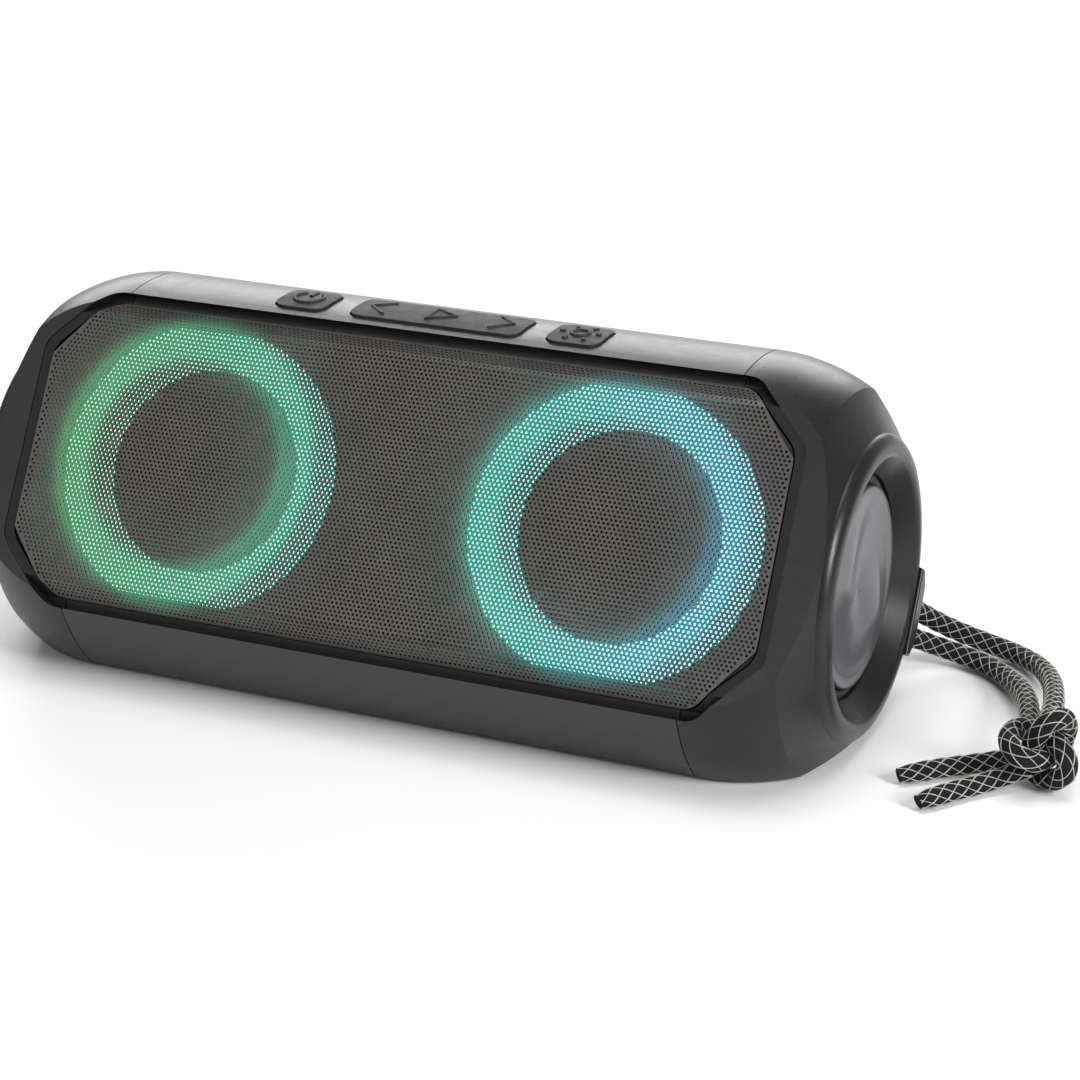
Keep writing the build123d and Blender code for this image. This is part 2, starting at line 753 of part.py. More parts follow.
cell_r, cell_l = 9.2, 65.0
cell_ys, cell_z = (8.0, 27.5), -26.0
with BuildPart() as battery_cells:
    for y in cell_ys:
        with BuildSketch(Plane(origin=(-cell_l / 2, y, axis_h + cell_z), x_dir=(0, 1, 0), z_dir=(1, 0, 0))):
            Circle(cell_r)
        extrude(amount=cell_l)
save(battery_cells, "battery_cells")

tray_z = base_inner + tub_wall
with BuildPart() as battery_tray:
    with BuildSketch(level(tray_z)):
        with Locations((0, sum(cell_ys) / 2)):
            Rectangle(cell_l + 6, 38)
    extrude(amount=8)
    for y in cell_ys:
        cell_end = (-cell_l / 2 - 0.3, y, axis_h + cell_z)
        with BuildSketch(Plane(origin=cell_end, x_dir=(0, 1, 0), z_dir=(1, 0, 0))):
            Circle(cell_r + 0.05)
        extrude(amount=cell_l + 0.6, mode=Mode.SUBTRACT)
save(battery_tray, "battery_tray")

ribbon_t = 0.4
board_face = board_d  # the ribbon ends on the board's inner face
ribbon_low = 22.0
ribbon_end_y = (board_face - ribbon_low * s30) / c30
with BuildPart() as ribbon_cable:
    with BuildSketch(Plane(origin=(ribbon_x - ribbon_w / 2, 0, axis_h), x_dir=(0, 1, 0), z_dir=(1, 0, 0))):
        with BuildLine():
            Polyline((ribbon_y, board_z), (ribbon_y, 30), (ribbon_end_y - 0.6, ribbon_low),
                     (ribbon_end_y, ribbon_low), (ribbon_y + ribbon_t, 30.2), (ribbon_y + ribbon_t, board_z),
                     close=True)
        make_face()
    extrude(amount=ribbon_w)
save(ribbon_cable, "ribbon_cable")

with BuildPart() as base_screws:
    for x, y in base_holes:
        add(screw(floor_plane(x, y, foot_proud), screw_l, screw_r, head_r, head_t))
save(base_screws, "base_screws")

# ---------------------------------------------------------------- lanyard
# One cord goes round the post, and its two halves lie side by side into an overhand knot. Each half's route
# starts at the back of the post, where the two meet.
loop_r = post_r + rope_d / 2 + 0.1
rope_x = (slot_x0 + slot_x1) / 2
post_mid = axis_pt + Vector(rope_x, 0, 0) + rear_corner * post_at
loop_back = post_mid - rear_corner * loop_r
upper_route = [
    loop_back,
    loop_back + along_corner * loop_r,
    post_mid + along_corner * loop_r + rear_corner * 7,
    Vector(118.2, 52.5, 15.8),
    Vector(123.2, 58.8, 10.2),
    Vector(129.4, 62.8, 6.2),
    Vector(136.6, 64.4, 3.8),
    Vector(143.6, 62.8, 3.1),
    Vector(149.6, 58.6, 3.5),
    Vector(154.4, 52.6, 4.6),
    Vector(158.6, 44.8, 6.2),
    Vector(162.8, 34.0, 8.6),
    Vector(166.4, 21.6, 11.2),
    Vector(169.6, 8.8, 13.7),
    Vector(171.4, -3.4, 15.2),
]
lower_route = [
    loop_back,
    loop_back - along_corner * loop_r,
    post_mid - along_corner * loop_r + rear_corner * 7,
    Vector(118.4, 47.2, 9.8),
    Vector(123.6, 51.8, 6.4),
    Vector(130.4, 54.0, 4.0),
    Vector(137.6, 52.8, 3.1),
    Vector(144.0, 48.2, 3.3),
    Vector(149.8, 41.0, 4.4),
    Vector(155.4, 31.4, 6.4),
    Vector(160.0, 19.8, 8.6),
    Vector(163.6, 7.8, 10.3),
    Vector(166.6, -3.8, 11.2),
]
upper_tail = [
    Vector(169.0, -6.6, 7.0),
    Vector(161.2, -6.0, 4.0),
    Vector(153.8, -9.6, 2.8),
    Vector(146.2, -16.0, 3.0),
    Vector(138.4, -23.4, 2.8),
]
lower_tail = [
    Vector(170.0, -14.0, 7.0),
    Vector(163.6, -15.6, 3.8),
    Vector(158.2, -21.0, 2.8),
    Vector(152.8, -28.0, 3.0),
    Vector(147.5, -35.8, 2.8),
]
knot_at, knot_r = Vector(172.2, -10.8, 11.7), 11.6


def bend_radii(points):
    """The largest smooth arc at each corner: 0.45 of the shorter run over the tangent of half the turn."""
    radii = []
    for before, here, after in zip(points, points[1:], points[2:]):
        turn = (here - before).get_angle(after - here)
        shorter = min((here - before).length, (after - here).length)
        radii.append(0.45 * shorter / tan(radians(turn / 2)))
    return radii


def lay_cord(points, name, round_post=False):
    radii = bend_radii(points)
    if round_post:
        radii[0] = loop_r - 0.05
    print(name, "bend radii", [round(r, 1) for r in radii])
    with BuildPart() as cord:
        with BuildLine() as path:
            FilletPolyline(*points, radius=radii)
        with BuildSketch(Plane(origin=path.line @ 0, z_dir=path.line % 0)):
            Circle(rope_d / 2)
        sweep()
    length = path.wires()[0].length
    print(name, "volume over section times length", cord.part.volume / (pi * rope_d**2 / 4 * length))
    with BuildPart() as clear:
        add(cord.part)
        add(knot.part, mode=Mode.SUBTRACT)
    save(clear, name)


with BuildPart() as knot:
    with Locations(Location(knot_at)):
        Sphere(knot_r)
save(knot, "lanyard_knot")
lay_cord(upper_route, "lanyard_upper", round_post=True)
lay_cord(lower_route, "lanyard_lower", round_post=True)
lay_cord(upper_tail, "lanyard_tail_upper")
lay_cord(lower_tail, "lanyard_tail_lower")
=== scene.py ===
import json
from math import atan2, cos, pi, radians, sin, sqrt, tau

import bpy
from mathutils import Matrix, Vector


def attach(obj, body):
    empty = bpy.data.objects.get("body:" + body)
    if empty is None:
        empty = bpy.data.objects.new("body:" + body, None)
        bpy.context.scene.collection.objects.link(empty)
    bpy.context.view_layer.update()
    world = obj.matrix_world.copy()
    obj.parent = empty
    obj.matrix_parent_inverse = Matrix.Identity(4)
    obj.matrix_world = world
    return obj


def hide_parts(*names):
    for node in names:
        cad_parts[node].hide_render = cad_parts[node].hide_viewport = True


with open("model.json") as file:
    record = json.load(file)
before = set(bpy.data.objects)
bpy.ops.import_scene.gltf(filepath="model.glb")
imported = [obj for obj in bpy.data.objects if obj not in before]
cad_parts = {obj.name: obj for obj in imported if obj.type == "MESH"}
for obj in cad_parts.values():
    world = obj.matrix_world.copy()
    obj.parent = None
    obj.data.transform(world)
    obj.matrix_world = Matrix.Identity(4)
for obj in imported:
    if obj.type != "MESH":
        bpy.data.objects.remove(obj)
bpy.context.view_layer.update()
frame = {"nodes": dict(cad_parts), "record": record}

# A portable speaker with a three-sided section. X runs along it, Y to the back, Z up, in metres.
# Lengths with MM in them are millimetres made into metres.
MM = 0.001

lean = radians(30)
axis_z = 42.4 * MM
flat_r, corner_r = 41.4 * MM, 58.5 * MM
face_out = Vector((0, -cos(lean), sin(lean)))
face_up = Vector((0, sin(lean), cos(lean)))
rear_corner = Vector((0, cos(lean), -sin(lean)))
along_corner = Vector((0, sin(lean), cos(lean)))
axis_point = Vector((0, 0, axis_z))

# The front opening's half sizes and its cut corners, and the light ring round each driver.
opening_w, opening_h, opening_cut = 108.5 * MM, 41.6 * MM, 15.0 * MM
driver_x, light_ring_r = 61.4 * MM, 33.7 * MM


def face_point(x, q, p):
    """A point x along the speaker, q up its front face and p out from its long axis."""
    return Vector((x, 0, axis_z)) + face_up * q + face_out * p


def link(name, data, body="root"):
    """A new object in the scene that moves with a CAD body."""
    obj = bpy.data.objects.new(name, data)
    bpy.context.scene.collection.objects.link(obj)
    if body:
        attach(obj, body)
    return obj


# ---------------------------------------------------------------- camera
def make_camera():
    lens = bpy.data.cameras.new("camera")
    lens.lens, lens.sensor_width = 99.06, 36
    lens.shift_x, lens.shift_y = -0.0226, -0.0285
    lens.clip_start, lens.clip_end = 0.05, 20
    camera = link("camera", lens, body=None)
    azimuth, elevation, roll = radians(23.93), radians(21.09), radians(-0.24)
    camera.matrix_world = (
        Matrix.Translation((0.3372, -0.6802, 0.3384))
        @ Matrix.Rotation(azimuth, 4, "Z")
        @ Matrix.Rotation(pi / 2 - elevation, 4, "X")
        @ Matrix.Rotation(roll, 4, "Z")
    )
    bpy.context.scene.camera = camera


make_camera()


# ---------------------------------------------------------------- materials
class Nodes:
    """A material's node tree, with its shader and short calls for the nodes used here."""

    def __init__(self, name):
        self.material = bpy.data.materials.new(name)
        self.material.use_nodes = True
        self.tree = self.material.node_tree
        self.shader = self.tree.nodes["Principled BSDF"]
        self.coords = self.tree.nodes.new("ShaderNodeTexCoord")

    def add(self, kind, **values):
        node = self.tree.nodes.new(kind)
        for key, value in values.items():
            if key in node.inputs:
                node.inputs[key].default_value = value
            else:
                setattr(node, key, value)
        return node

    def wire(self, output, target):
        self.tree.links.new(output, target)

    def noise(self, scale, detail):
        node = self.add("ShaderNodeTexNoise", Scale=scale, Detail=detail)
        self.wire(self.coords.outputs["Object"], node.inputs["Vector"])
        return node.outputs["Fac"]

    def ramp(self, value, stops):
        node = self.add("ShaderNodeValToRGB")
        elements = node.color_ramp.elements
        while len(elements) < len(stops):
            elements.new(0.5)
        for element, (place, colour) in zip(elements, stops):
            element.position, element.color = place, (*colour, 1)
        self.wire(value, node.inputs["Fac"])
        return node.outputs["Color"]

    def spread(self, value, low, high, start=0.3, stop=0.7):
        node = self.add("ShaderNodeMapRange")
        for key, number in zip(("From Min", "From Max", "To Min", "To Max"), (start, stop, low, high)):
            node.inputs[key].default_value = number
        self.wire(value, node.inputs["Value"])
        return node.outputs["Result"]

    def math(self, operation, *values):
        node = self.add("ShaderNodeMath", operation=operation)
        for value, socket in zip(values, node.inputs):
            if isinstance(value, (int, float)):
                socket.default_value = value
            else:
                self.wire(value, socket)
        return node.outputs["Value"]

    def face_coords(self):
        """Where a point is on the front face: x along it, q up it and p out from the long axis."""
        split = self.add("ShaderNodeSeparateXYZ")
        self.wire(self.coords.outputs["Object"], split.inputs["Vector"])
        height = self.math("SUBTRACT", split.outputs["Z"], axis_z)
        depth = split.outputs["Y"]
        q = self.math("MULTIPLY_ADD", depth, sin(lean), self.math("MULTIPLY", height, cos(lean)))
        p = self.math("MULTIPLY_ADD", depth, -cos(lean), self.math("MULTIPLY", height, sin(lean)))
        return split.outputs["X"], q, p

    def bump(self, height, distance):
        node = self.add("ShaderNodeBump", Distance=distance)
        self.wire(height, node.inputs["Height"])
        self.wire(node.outputs["Normal"], self.shader.inputs["Normal"])


def moulded(name, dark, light, rough, grain=0.02 * MM, grain_scale=5200, cloud=60, extra=None, **sockets):
    """A moulded or coated surface: faint clouds in its colour, uneven gloss and a fine grain."""
    nodes = Nodes(name)
    clouds = nodes.noise(cloud, 4)
    nodes.wire(nodes.ramp(clouds, [(0.3, dark), (0.7, light)]), nodes.shader.inputs["Base Color"])
    nodes.wire(nodes.spread(nodes.noise(cloud * 6, 5), *rough), nodes.shader.inputs["Roughness"])
    nodes.bump(nodes.noise(grain_scale, 2), grain)
    for key, value in sockets.items():
        nodes.shader.inputs[key.replace("_", " ")].default_value = value
    if extra:
        extra(nodes)
    return nodes.material


def painted_lip_shade(nodes):
    """Painted shade: the band round the front opening is made a near black and more matt, standing in for the
    shade in its recess, whichever piece it is on.
    """
    x, q, p = nodes.face_coords()
    x, q = nodes.math("ABSOLUTE", x), nodes.math("ABSOLUTE", q)
    past_corner = nodes.math("SUBTRACT", nodes.math("ADD", x, q), opening_w + opening_h - opening_cut)
    past_end = nodes.math("SUBTRACT", x, opening_w)
    past_side = nodes.math("MAXIMUM", past_end, nodes.math("SUBTRACT", q, opening_h))
    past_edge = nodes.math("MAXIMUM", nodes.math("MULTIPLY", past_corner, sqrt(0.5)), past_side)
    in_front = nodes.spread(p, 0, 1, 20 * MM, 22 * MM)
    share = nodes.math("MULTIPLY", nodes.spread(past_edge, 1, 0, 2.2 * MM, 2.5 * MM), in_front)
    base = nodes.shader.inputs["Base Color"]
    blend = nodes.add("ShaderNodeMix", data_type="RGBA")
    factor, plain, painted_shade_colour = blend.inputs[0], blend.inputs[6], blend.inputs[7]
    mixed = blend.outputs[2]
    nodes.wire(share, factor)
    nodes.wire(base.links[0].from_socket, plain)
    # Painted shade: this near-black colour stands in for the shade in the recess round the opening.
    painted_shade_colour.default_value = (0.006, 0.006, 0.007, 1)
    nodes.wire(mixed, base)
    rough = nodes.shader.inputs["Roughness"]
    nodes.wire(nodes.math("MULTIPLY_ADD", share, 0.25, rough.links[0].from_socket), rough)


def painted_ring_glow(nodes):
    """Painted light: the metal over the light rings emits their glow itself, green on the left and blue on the
    right, in place of the rings' light falling on it.
    """
    x, q, _ = nodes.face_coords()
    from_driver = nodes.math("SUBTRACT", nodes.math("ABSOLUTE", x), driver_x)
    x_square, q_square = nodes.math("MULTIPLY", from_driver, from_driver), nodes.math("MULTIPLY", q, q)
    radius = nodes.math("SQRT", nodes.math("ADD", x_square, q_square))
    off_ring = nodes.math("ABSOLUTE", nodes.math("SUBTRACT", radius, light_ring_r))
    # Painted light: emission on the metal, strongest right over each light ring.
    glow = nodes.spread(off_ring, 1, 0, 4.0 * MM, 9 * MM)
    strength = nodes.math("MULTIPLY", nodes.math("MULTIPLY", glow, glow), 0.30)
    nodes.wire(strength, nodes.shader.inputs["Emission Strength"])
    along = nodes.spread(x, 0, 1, -102 * MM, 102 * MM)
    painted_glow_tints = [(0.0, (0.06, 0.60, 0.22)), (0.39, (0.01, 0.50, 0.25)), (0.61, (0.0, 0.44, 0.27)),
             (0.79, (0.0, 0.40, 0.38)), (1.0, (0.0, 0.28, 0.50))]
    nodes.wire(nodes.ramp(along, painted_glow_tints), nodes.shader.inputs["Emission Color"])


body_black = moulded("body_black", (0.0085, 0.0083, 0.0092), (0.0115, 0.0112, 0.0124), (0.27, 0.33),
                     extra=painted_lip_shade, Specular_IOR_Level=0.34)
panel_black = moulded("panel_black", (0.0120, 0.0117, 0.0120), (0.0150, 0.0146, 0.0150), (0.31, 0.38),
                      extra=painted_lip_shade)
grille_metal = moulded(
    "grille_metal", (0.078, 0.071, 0.066), (0.102, 0.093, 0.087), (0.36, 0.46), grain_scale=7000,
    extra=painted_ring_glow, Metallic=0.55
)
key_rubber = moulded("key_rubber", (0.018, 0.0165, 0.015), (0.026, 0.024, 0.022), (0.55, 0.70),
                     grain=0.03 * MM, Specular_IOR_Level=0.35)
soft_rubber = moulded("soft_rubber", (0.012, 0.012, 0.013), (0.020, 0.020, 0.021), (0.60, 0.75),
                      grain=0.03 * MM)
inner_black = moulded("inner_black", (0.004, 0.004, 0.004), (0.008, 0.008, 0.008), (0.60, 0.80))
disc_grey = moulded("disc_grey", (0.085, 0.082, 0.092), (0.105, 0.101, 0.112), (0.27, 0.30),
                    grain=0.001 * MM, cloud=9, Metallic=0.35)
cone_black = moulded("cone_black", (0.010, 0.010, 0.011), (0.016, 0.016, 0.017), (0.50, 0.62),
                     grain_scale=2600)
steel = moulded("steel", (0.42, 0.42, 0.43), (0.55, 0.55, 0.56), (0.25, 0.40), grain=0.01 * MM, Metallic=1.0)
board_green = moulded("board_green", (0.010, 0.055, 0.030), (0.018, 0.080, 0.042), (0.35, 0.45))
part_black = moulded("part_black", (0.015, 0.015, 0.015), (0.030, 0.030, 0.030), (0.30, 0.45))
lamp_white = moulded("lamp_white", (0.75, 0.78, 0.72), (0.88, 0.90, 0.84), (0.20, 0.30))
cell_blue = moulded("cell_blue", (0.030, 0.120, 0.210), (0.045, 0.160, 0.270), (0.22, 0.32))
ribbon_white = moulded("ribbon_white", (0.62, 0.62, 0.58), (0.78, 0.78, 0.74), (0.35, 0.45))


def glowing(name, stops, strength):
    """A frosted light guide whose colour changes along the speaker."""
    nodes = Nodes(name)
    split = nodes.add("ShaderNodeSeparateXYZ")
    nodes.wire(nodes.coords.outputs["Object"], split.inputs["Vector"])
    along = nodes.spread(split.outputs["X"], 0, 1, stops[0][0] * MM, stops[-1][0] * MM)
    span = stops[-1][0] - stops[0][0]
    colour = nodes.ramp(along, [((x - stops[0][0]) / span, tint) for x, tint in stops])
    nodes.wire(colour, nodes.shader.inputs["Emission Color"])
    power = nodes.spread(nodes.noise(160, 3), 0.85 * strength, 1.1 * strength)
    nodes.wire(power, nodes.shader.inputs["Emission Strength"])
    nodes.wire(nodes.ramp(nodes.noise(300, 3), [(0.3, (0.6, 0.7, 0.66)), (0.7, (0.7, 0.8, 0.76))]),
               nodes.shader.inputs["Base Color"])
    nodes.bump(nodes.noise(3000, 2), 0.02 * MM)
    return nodes.material


green_stops = [(-102, (0.22, 0.62, 0.30)), (-70, (0.18, 0.66, 0.38)), (-22, (0.13, 0.68, 0.56))]
blue_stops = [(22, (0.08, 0.62, 0.46)), (60, (0.12, 0.64, 0.62)), (102, (0.12, 0.56, 0.72))]
glow_left = glowing("glow_left", green_stops, 4.2)
glow_right = glowing("glow_right", blue_stops, 4.6)


def woven_rope():
    """Black braid: two sets of fine strands that cross. The mesh's UV is length and turn, both in strands."""
    nodes = Nodes("rope_black")
    waves = []
    for slant in (1, -1):
        turn = nodes.add("ShaderNodeMapping")
        turn.inputs["Rotation"].default_value = (0, 0, slant * radians(45))
        nodes.wire(nodes.coords.outputs["UV"], turn.inputs["Vector"])
        wave = nodes.add("ShaderNodeTexWave", Scale=0.7, Distortion=0.6)
        nodes.wire(turn.outputs["Vector"], wave.inputs["Vector"])
        waves.append(wave.outputs["Fac"])
    height = nodes.math("MAXIMUM", *waves)
    # Painted shade: the braid's colour is darker down in the grooves between the strands, where shade falls.
    nodes.wire(nodes.ramp(height, [(0.2, (0.002, 0.002, 0.0025)), (0.9, (0.011, 0.0105, 0.012))]),
               nodes.shader.inputs["Base Color"])
    nodes.wire(nodes.spread(nodes.noise(2400, 3), 0.6, 0.85), nodes.shader.inputs["Roughness"])
    nodes.bump(height, 0.18 * MM)
    nodes.shader.inputs["Specular IOR Level"].default_value = 0.2
    return nodes.material


rope_black = woven_rope()
net_thread = moulded("net_thread", (0.30, 0.29, 0.27), (0.46, 0.44, 0.41), (0.40, 0.60),
                     grain=0.04 * MM, cloud=900)


# ---------------------------------------------------------------- lanyard
rope_d = 5.4 * MM
tail_d = 4.6 * MM
loop_r = 4.8 * MM
post_x, post_out = 115.75 * MM, 42.9 * MM  # the post's middle, and its distance from the long axis
post_mid = axis_point + Vector((post_x, 0, 0)) + rear_corner * post_out
loop_back = post_mid - rear_corner * loop_r


def route(start, rest):
    return start + [Vector(point) * MM for point in rest]


# Each half starts at the back of the post in the end ring and runs to the knot.
upper_route = route(
    [loop_back, loop_back + along_corner * loop_r, post_mid + along_corner * loop_r + rear_corner * 7 * MM],
    [(118.2, 52.5, 15.8), (123.2, 58.8, 10.2), (129.4, 62.8, 6.2), (136.6, 64.4, 3.8), (143.6, 62.8, 3.1),
     (149.6, 58.6, 3.5), (154.4, 52.6, 4.6), (158.6, 44.8, 6.2), (162.8, 34.0, 8.6), (166.4, 21.6, 11.2),
     (169.6, 8.8, 13.7), (171.4, -3.4, 15.2)],
)
lower_route = route(
    [loop_back, loop_back - along_corner * loop_r, post_mid - along_corner * loop_r + rear_corner * 7 * MM],
    [(118.4, 47.2, 9.8), (123.6, 51.8, 6.4), (130.4, 54.0, 4.0), (137.6, 52.8, 3.1), (144.0, 48.2, 3.3),
     (149.8, 41.0, 4.4), (155.4, 31.4, 6.4), (160.0, 19.8, 8.6), (163.6, 7.8, 10.3), (166.6, -3.8, 11.2)],
)
upper_tail = route([], [(169.0, -6.6, 7.0), (161.2, -6.0, 4.0), (153.8, -9.6, 2.8), (146.2, -16.0, 3.0),
                        (138.4, -23.4, 2.8)])
lower_tail = route([], [(170.0, -14.0, 7.0), (163.6, -15.6, 3.8), (158.2, -21.0, 2.8), (152.8, -28.0, 3.0),
                        (147.5, -35.8, 2.8)])
knot_at, knot_r = Vector((172.2, -10.8, 11.7)) * MM, 11.6 * MM


def spline_points(name, points, closed=False):
    """The smooth line that a route's points control."""
    curve = bpy.data.curves.new(name, "CURVE")
    curve.dimensions, curve.resolution_u = "3D", 24
    spline = curve.splines.new("NURBS")
    spline.points.add(len(points) - 1)
    for control, at in zip(spline.points, points):
        control.co = (*at, 1)
    spline.order_u = 3
    spline.use_endpoint_u = not closed
    spline.use_cyclic_u = closed
    holder = bpy.data.objects.new(name, curve)
    bpy.context.scene.collection.objects.link(holder)
    bpy.context.view_layer.update()
    line = bpy.data.meshes.new_from_object(holder)
    found = [vertex.co.copy() for vertex in line.vertices]
    bpy.data.objects.remove(holder)
    bpy.data.curves.remove(curve)
    bpy.data.meshes.remove(line)
    return found


def evenly(points, step):
    """The same line with points a step apart, or a little less."""
    gaps = [(b - a).length for a, b in zip(points, points[1:])]
    total = sum(gaps)
    count = max(2, round(total / step))
    found, i, passed = [], 0, 0.0
    for k in range(count + 1):
        want = total * k / count
        while i < len(gaps) - 1 and passed + gaps[i] < want:
            passed += gaps[i]
            i += 1
        found.append(points[i].lerp(points[i + 1], (want - passed) / gaps[i]))
    return found, total


def frames(points, closed=False):
    """An unturning pair of directions across the line at each point."""
    count = len(points)
    tangents = [
        (points[min(i + 1, count - 1)] - points[max(i - 1, 0)]).normalized() for i in range(count)
    ]
    if closed:
        tangents[0] = tangents[-1] = (points[1] - points[-2]).normalized()
    across = tangents[0].orthogonal().normalized()
    found = []
    for tangent in tangents:
        across = (across - tangent * across.dot(tangent)).normalized()
        found.append((across, tangent.cross(across)))
    if closed:
        first, last = found[0], found[-1]
        slip = atan2(first[0].dot(last[1]), first[0].dot(last[0]))
        for i, (a, b) in enumerate(found):
            turn = slip * i / (count - 1)
            found[i] = (a * cos(turn) + b * sin(turn), b * cos(turn) - a * sin(turn))
    return found


class Shape:
    """Vertices, faces, UVs and material numbers gathered for one mesh."""

    def __init__(self):
        self.points, self.faces, self.uvs, self.slots = [], [], [], []

    def grid(self, rows, slot=0, uv=None, ring=False):
        """A sheet of quads over equal rows of points. A ring's rows close on themselves."""
        start, width = len(self.points), len(rows[0])
        for row in rows:
            self.points.extend(row)
        across = width if ring else width - 1
        for j in range(len(rows) - 1):
            for i in range(across):
                k = (i + 1) % width
                a, b = start + j * width, start + (j + 1) * width
                self.faces.append((a + i, a + k, b + k, b + i))
                corners = ((j, i), (j, i + 1), (j + 1, i + 1), (j + 1, i))
                self.uvs.extend(uv(*corner) if uv else (0, 0) for corner in corners)
                self.slots.append(slot)

    def fan(self, row, centre, slot=0):
        """Triangles from a closed row to one point."""
        start = len(self.points)
        self.points.extend([*row, centre])
        for i in range(len(row)):
            self.faces.append((start + i, start + (i + 1) % len(row), start + len(row)))
            self.uvs.extend([(0, 0)] * 3)
            self.slots.append(slot)

    def object(self, name, materials, body="root", slot=None, smooth=True):
        mesh = bpy.data.meshes.new(name)
        mesh.from_pydata([tuple(point) for point in self.points], [], self.faces)
        layer = mesh.uv_layers.new(name="UVMap")
        layer.data.foreach_set("uv", [number for pair in self.uvs for number in pair])
        mesh.polygons.foreach_set("material_index", self.slots)
        mesh.polygons.foreach_set("use_smooth", [smooth] * len(self.faces))
        for material in materials:
            mesh.materials.append(material)
        mesh.update()
        return link(name, mesh, body)


net_count, net_pitch = 5, 23 * MM  # threads each way, and the length of one turn
strand_size = 0.9 * MM  # one strand of the braid, along and round the rope


def rope(name, line, diameter, closed=False, squash=None):
    """A braided rope with a net of pale threads woven over it. squash gives width and height along it."""
    points, length = evenly(line, 0.45 * MM)
    across = frames(points, closed)
    count, sides = len(points), 24
    shape = Shape()

    def at(i, angle, lift=0.0):
        wide, high = squash(i / (count - 1)) if squash else (1, 1)
        a, b = across[i]
        radius = diameter / 2 + lift
        return points[i] + a * (cos(angle) * radius * wide) + b * (sin(angle) * radius * high)

    rows = [[at(i, tau * k / sides) for k in range(sides)] for i in range(count)]
    around = pi * diameter / strand_size
    shape.grid(rows, uv=lambda j, i: (length * j / (count - 1) / strand_size, around * i / sides), ring=True)
    if not closed:
        shape.fan(rows[0], points[0])
        shape.fan(rows[-1], points[-1])
    half_w, lift, sunk = 0.15 * MM, 0.22 * MM, -0.1 * MM
    side = half_w / (diameter / 2)
    for way in (1, -1):
        for k in range(net_count):
            ribbon = []
            for i in range(count):
                turn = way * tau * length * i / (count - 1) / net_pitch + tau * k / net_count
                over = sin(net_count * turn) * way
                top = lift * (0.62 + 0.38 * over)
                ribbon.append([
                    at(i, turn - side, sunk), at(i, turn - 0.6 * side, top),
                    at(i, turn + 0.6 * side, top), at(i, turn + side, sunk),
                ])
            shape.grid(ribbon, slot=1)
    return shape, points, length


def lay(name, points, diameter, node, squash=None):
    shape, path, length = rope(name, spline_points(name, points), diameter, squash=squash)
    piece = shape.object(name, [rope_black, net_thread], slot="rope")
    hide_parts(node)


def make_knot():
    """The overhand knot that ties the two halves, as one closed turn of rope through itself."""
    tilt = Matrix()
    for angle, axis in ((24, "Z"), (68, "X"), (20, "Z")):
        tilt = tilt @ Matrix.Rotation(radians(angle), 4, axis)
    reach = (knot_r - rope_d / 2) / 3
    controls = []
    for k in range(24):
        t = tau * k / 24
        trefoil = Vector((sin(t) + 2 * sin(2 * t), cos(t) - 2 * cos(2 * t), -1.9 * sin(3 * t)))
        controls.append(trefoil * reach)
    line = [knot_at + tilt @ (point * 1.01) for point in spline_points("knot", controls, closed=True)]
    line.append(line[0].copy())
    shape, _, _ = rope("knot", line, rope_d, closed=True)
    piece = shape.object("knot", [rope_black, net_thread], slot="rope")
    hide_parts("lanyard_knot")
    return piece


def flattened(along):
    """A tail is round at the knot, then flat, with its end pinched."""
    ease = min(1, along / 0.35)
    pinch = 1 - 0.25 * max(0, (along - 0.85) / 0.15)
    return (1 + 0.12 * ease) * pinch, (1 - 0.34 * ease) * pinch


knot = make_knot()
lay("upper_half", upper_route, rope_d, "lanyard_upper")
lay("lower_half", lower_route, rope_d, "lanyard_lower")
lay("upper_end", upper_tail, tail_d, "lanyard_tail_upper", squash=flattened)
lay("lower_end", lower_tail, tail_d, "lanyard_tail_lower", squash=flattened)

# ---------------------------------------------------------------- grille
grille_gap = 0.3 * MM
grille_w, grille_h, grille_round = opening_w - grille_gap, opening_h - grille_gap, 8.0 * MM
bend_q = 37.1 * MM  # the grille's face is flat up to here, then goes back at 45 degrees
bend_round = 1.6 * MM  # how far each side of that line the bend's arc reaches
grille_t = 0.8 * MM
hole_pitch, hole_r = 1.3 * MM, 0.42 * MM


def grille_point(x, t, depth):
    """A point on the grille: t is measured over its surface, up from the middle of the face."""
    over = max(0.0, abs(t) - bend_q + bend_round)
    bend = radians(45)
    radius = 2 * bend_round / bend
    turned = min(1.0, over / (2 * bend_round)) * bend
    q = abs(t) if over == 0 else bend_q - bend_round + radius * sin(turned)
    p = flat_r - radius * (1 - cos(turned)) if over else flat_r
    rest = max(0.0, over - 2 * bend_round)
    q += rest * cos(bend)
    p -= rest * sin(bend)
    side = 1 if t >= 0 else -1
    q -= depth * sin(turned)
    p -= depth * cos(turned)
    return face_point(x, side * q, p)


def grille_outline():
    """The grille's edge as seen from the front: an octagon with rounded corners, anticlockwise."""
    w, h, cut = grille_w, grille_h, opening_cut
    corners = [Vector(pair) for pair in (
        (w, cut - h), (w, h - cut), (w - cut, h), (cut - w, h),
        (-w, h - cut), (-w, cut - h), (cut - w, -h), (w - cut, -h),
    )]
    outline = []
    for i, corner in enumerate(corners):
        before = (corners[i - 1] - corner).normalized()
        after = (corners[(i + 1) % len(corners)] - corner).normalized()
        half = before.angle(after) / 2
        reach = grille_round * cos(half) / sin(half)
        centre = corner + (before + after).normalized() * (grille_round / sin(half))
        first = corner + before * reach - centre
        start, turn = atan2(first.y, first.x), pi - 2 * half
        for k in range(6):
            angle = start + turn * k / 5
            outline.append(centre + Vector((cos(angle), sin(angle))) * grille_round)
    return outline


def unroll(q):
    """The distance over the grille's surface for a height q up the face."""
    return q if abs(q) < bend_q else (bend_q + (abs(q) - bend_q) * sqrt(2)) * (1 if q > 0 else -1)


